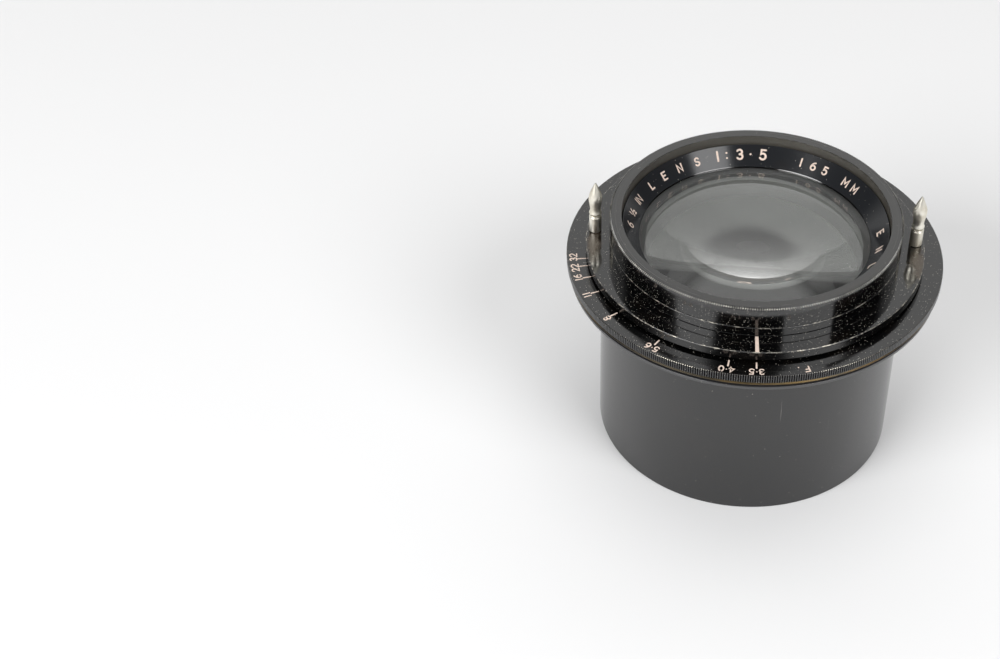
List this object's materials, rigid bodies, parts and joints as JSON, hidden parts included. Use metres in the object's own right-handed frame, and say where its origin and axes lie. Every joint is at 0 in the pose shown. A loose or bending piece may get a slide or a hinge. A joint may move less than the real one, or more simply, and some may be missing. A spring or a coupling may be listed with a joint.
{
  "type": "enlarger lens",
  "caption": "Barrel-mounted photographic enlarging lens with a knurled front cell, an aperture ring that closes an iris of thin blades, and split snap studs on its flange.",
  "frame": {"origin": "on the optical axis in the plane of the rear rim, on which the lens stands", "axes": "+Z along the optical axis towards the front glass; -Y through the index line; +X through the right-hand snap stud"},
  "size_m": [0.0782, 0.0782, 0.0598],
  "materials": {
    "black_lacquer": "glossy baked black lacquer over brass",
    "satin_black": "satin black",
    "blued_steel": "blackened spring steel",
    "brass": "bare brass, worn at the edge",
    "nickelled_brass": "nickel plate, slightly tarnished",
    "optical_glass": "polished optical glass"
  },
  "bodies": {
    "lens_housing": {"barrel": "black_lacquer", "front_cell": "black_lacquer", "name_ring": "satin_black", "front_element": "optical_glass", "second_element": "optical_glass", "spacer_ring": "black_lacquer", "iris_seat_ring": "satin_black", "rear_cell": "satin_black", "rear_pair_front": "optical_glass", "rear_pair_back": "optical_glass", "rear_retaining_ring": "satin_black", "ring_retainer": "brass", "seating_plate": "satin_black", "snap_stud_left": "nickelled_brass", "snap_stud_right": "nickelled_brass", "stud_collar_left": "nickelled_brass", "stud_collar_right": "nickelled_brass"},
    "aperture_control": {"aperture_ring": "black_lacquer", "drive_screw": "nickelled_brass", "iris_drive_sleeve": "satin_black"},
    "iris_blade_01": {"iris_blade_01": "blued_steel"},
    "iris_blade_02": {"iris_blade_02": "blued_steel"},
    "iris_blade_03": {"iris_blade_03": "blued_steel"},
    "iris_blade_04": {"iris_blade_04": "blued_steel"},
    "iris_blade_05": {"iris_blade_05": "blued_steel"},
    "iris_blade_06": {"iris_blade_06": "blued_steel"},
    "iris_blade_07": {"iris_blade_07": "blued_steel"},
    "iris_blade_08": {"iris_blade_08": "blued_steel"},
    "iris_blade_09": {"iris_blade_09": "blued_steel"},
    "iris_blade_10": {"iris_blade_10": "blued_steel"},
    "iris_blade_11": {"iris_blade_11": "blued_steel"},
    "iris_blade_12": {"iris_blade_12": "blued_steel"},
    "iris_blade_13": {"iris_blade_13": "blued_steel"},
    "iris_blade_14": {"iris_blade_14": "blued_steel"},
    "iris_blade_15": {"iris_blade_15": "blued_steel"},
    "iris_blade_16": {"iris_blade_16": "blued_steel"}
  },
  "joints": [
    {"name": "aperture_turn", "type": "hinge", "parent": "lens_housing", "child": "aperture_control", "pos_m": [0, 0, 0.04398], "axis": [0, 0, 1], "range_deg": [0, 82.5]},
    {"name": "blade_01_swing", "type": "hinge", "parent": "lens_housing", "child": "iris_blade_01", "pos_m": [0.0284, 0, 0.0259], "axis": [0, 0, 1], "range_deg": [-1, 39.5]},
    {"name": "blade_02_swing", "type": "hinge", "parent": "lens_housing", "child": "iris_blade_02", "pos_m": [0.02624, 0.01087, 0.02613], "axis": [0, 0, 1], "range_deg": [-1, 39.5]},
    {"name": "blade_03_swing", "type": "hinge", "parent": "lens_housing", "child": "iris_blade_03", "pos_m": [0.02008, 0.02008, 0.02636], "axis": [0, 0, 1], "range_deg": [-1, 39.5]},
    {"name": "blade_04_swing", "type": "hinge", "parent": "lens_housing", "child": "iris_blade_04", "pos_m": [0.01087, 0.02624, 0.02659], "axis": [0, 0, 1], "range_deg": [-1, 39.5]},
    {"name": "blade_05_swing", "type": "hinge", "parent": "lens_housing", "child": "iris_blade_05", "pos_m": [0, 0.0284, 0.02682], "axis": [0, 0, 1], "range_deg": [-1, 39.5]},
    {"name": "blade_06_swing", "type": "hinge", "parent": "lens_housing", "child": "iris_blade_06", "pos_m": [-0.01087, 0.02624, 0.02705], "axis": [0, 0, 1], "range_deg": [-1, 39.5]},
    {"name": "blade_07_swing", "type": "hinge", "parent": "lens_housing", "child": "iris_blade_07", "pos_m": [-0.02008, 0.02008, 0.02728], "axis": [0, 0, 1], "range_deg": [-1, 39.5]},
    {"name": "blade_08_swing", "type": "hinge", "parent": "lens_housing", "child": "iris_blade_08", "pos_m": [-0.02624, 0.01087, 0.02751], "axis": [0, 0, 1], "range_deg": [-1, 39.5]},
    {"name": "blade_09_swing", "type": "hinge", "parent": "lens_housing", "child": "iris_blade_09", "pos_m": [-0.0284, 0, 0.02774], "axis": [0, 0, 1], "range_deg": [-1, 39.5]},
    {"name": "blade_10_swing", "type": "hinge", "parent": "lens_housing", "child": "iris_blade_10", "pos_m": [-0.02624, -0.01087, 0.02797], "axis": [0, 0, 1], "range_deg": [-1, 39.5]},
    {"name": "blade_11_swing", "type": "hinge", "parent": "lens_housing", "child": "iris_blade_11", "pos_m": [-0.02008, -0.02008, 0.0282], "axis": [0, 0, 1], "range_deg": [-1, 39.5]},
    {"name": "blade_12_swing", "type": "hinge", "parent": "lens_housing", "child": "iris_blade_12", "pos_m": [-0.01087, -0.02624, 0.02843], "axis": [0, 0, 1], "range_deg": [-1, 39.5]},
    {"name": "blade_13_swing", "type": "hinge", "parent": "lens_housing", "child": "iris_blade_13", "pos_m": [0, -0.0284, 0.02866], "axis": [0, 0, 1], "range_deg": [-1, 39.5]},
    {"name": "blade_14_swing", "type": "hinge", "parent": "lens_housing", "child": "iris_blade_14", "pos_m": [0.01087, -0.02624, 0.02889], "axis": [0, 0, 1], "range_deg": [-1, 39.5]},
    {"name": "blade_15_swing", "type": "hinge", "parent": "lens_housing", "child": "iris_blade_15", "pos_m": [0.02008, -0.02008, 0.02912], "axis": [0, 0, 1], "range_deg": [-1, 39.5]},
    {"name": "blade_16_swing", "type": "hinge", "parent": "lens_housing", "child": "iris_blade_16", "pos_m": [0.02624, -0.01087, 0.02935], "axis": [0, 0, 1], "range_deg": [-1, 39.5]}
  ],
  "couplings": [
    {"joint": "blade_01_swing", "follows": "aperture_turn", "ratio": 0.463},
    {"joint": "blade_02_swing", "follows": "aperture_turn", "ratio": 0.463},
    {"joint": "blade_03_swing", "follows": "aperture_turn", "ratio": 0.463},
    {"joint": "blade_04_swing", "follows": "aperture_turn", "ratio": 0.463},
    {"joint": "blade_05_swing", "follows": "aperture_turn", "ratio": 0.463},
    {"joint": "blade_06_swing", "follows": "aperture_turn", "ratio": 0.463},
    {"joint": "blade_07_swing", "follows": "aperture_turn", "ratio": 0.463},
    {"joint": "blade_08_swing", "follows": "aperture_turn", "ratio": 0.463},
    {"joint": "blade_09_swing", "follows": "aperture_turn", "ratio": 0.463},
    {"joint": "blade_10_swing", "follows": "aperture_turn", "ratio": 0.463},
    {"joint": "blade_11_swing", "follows": "aperture_turn", "ratio": 0.463},
    {"joint": "blade_12_swing", "follows": "aperture_turn", "ratio": 0.463},
    {"joint": "blade_13_swing", "follows": "aperture_turn", "ratio": 0.463},
    {"joint": "blade_14_swing", "follows": "aperture_turn", "ratio": 0.463},
    {"joint": "blade_15_swing", "follows": "aperture_turn", "ratio": 0.463},
    {"joint": "blade_16_swing", "follows": "aperture_turn", "ratio": 0.463}
  ]
}
